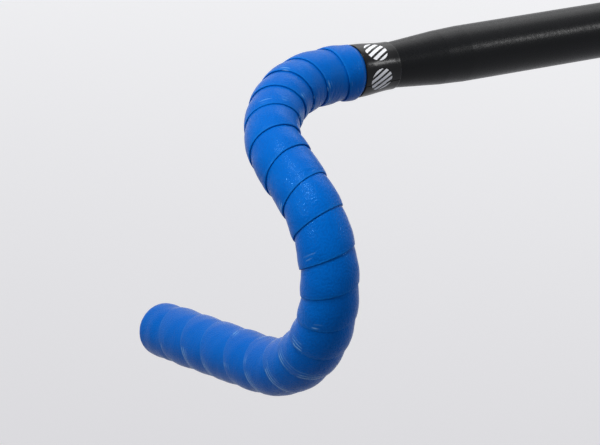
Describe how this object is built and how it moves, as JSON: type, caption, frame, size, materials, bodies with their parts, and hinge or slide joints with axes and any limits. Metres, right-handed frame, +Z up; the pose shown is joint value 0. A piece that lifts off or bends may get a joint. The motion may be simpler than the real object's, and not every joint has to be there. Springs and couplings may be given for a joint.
{
  "type": "taped drop handlebar",
  "caption": "Road drop handlebar with overlapping bar tape on its ramps, hooks and drops, finishing strips at the tops and expanding plugs in its ends.",
  "frame": {"origin": "centre of the stem clamp, on the axis of the straight tops", "axes": "+X along the tops to the rider's right, +Y forward, +Z up, with the ramps falling 20 degrees to the front"},
  "size_m": [0.471, 0.178, 0.1975],
  "materials": {
    "tube": "satin",
    "tape": "matte",
    "vinyl": "gloss",
    "plug": "satin",
    "sleeve": "matte",
    "screw": "satin",
    "steel": "satin"
  },
  "bodies": {
    "bar": {"handlebar": "tube", "right_bar_tape": "tape", "right_finishing_tape": "vinyl", "left_bar_tape": "tape", "left_finishing_tape": "vinyl"},
    "right_plug": {"right_plug_cap": "plug", "right_plug_sleeve": "sleeve", "right_plug_washer": "steel"},
    "right_screw": {"right_plug_screw": "screw"},
    "right_wedge": {"right_plug_wedge": "sleeve"},
    "left_plug": {"left_plug_cap": "plug", "left_plug_sleeve": "sleeve", "left_plug_washer": "steel"},
    "left_screw": {"left_plug_screw": "screw"},
    "left_wedge": {"left_plug_wedge": "sleeve"}
  },
  "joints": [
    {"name": "right_plug_pull", "type": "slide", "parent": "bar", "child": "right_plug", "axis": [0, -0.9659, -0.2588], "range_m": [0, 0.04]},
    {"name": "right_screw_turn", "type": "hinge", "parent": "right_plug", "child": "right_screw", "pos_m": [0.22, -0.04671, -0.1673], "axis": [0, -0.9659, -0.2588], "range_deg": [0, 1080]},
    {"name": "right_wedge_slide", "type": "slide", "parent": "right_plug", "child": "right_wedge", "axis": [0, 0.9659, 0.2588], "range_m": [0, 0.0024]},
    {"name": "left_plug_pull", "type": "slide", "parent": "bar", "child": "left_plug", "axis": [0, -0.9659, -0.2588], "range_m": [0, 0.04]},
    {"name": "left_screw_turn", "type": "hinge", "parent": "left_plug", "child": "left_screw", "pos_m": [-0.22, -0.04671, -0.1673], "axis": [0, -0.9659, -0.2588], "range_deg": [0, 1080]},
    {"name": "left_wedge_slide", "type": "slide", "parent": "left_plug", "child": "left_wedge", "axis": [0, 0.9659, 0.2588], "range_m": [0, 0.0024]}
  ],
  "couplings": [
    {"joint": "right_screw_turn", "follows": "right_wedge_slide", "rad_per_m": 7854},
    {"joint": "left_screw_turn", "follows": "left_wedge_slide", "rad_per_m": 7854}
  ]
}
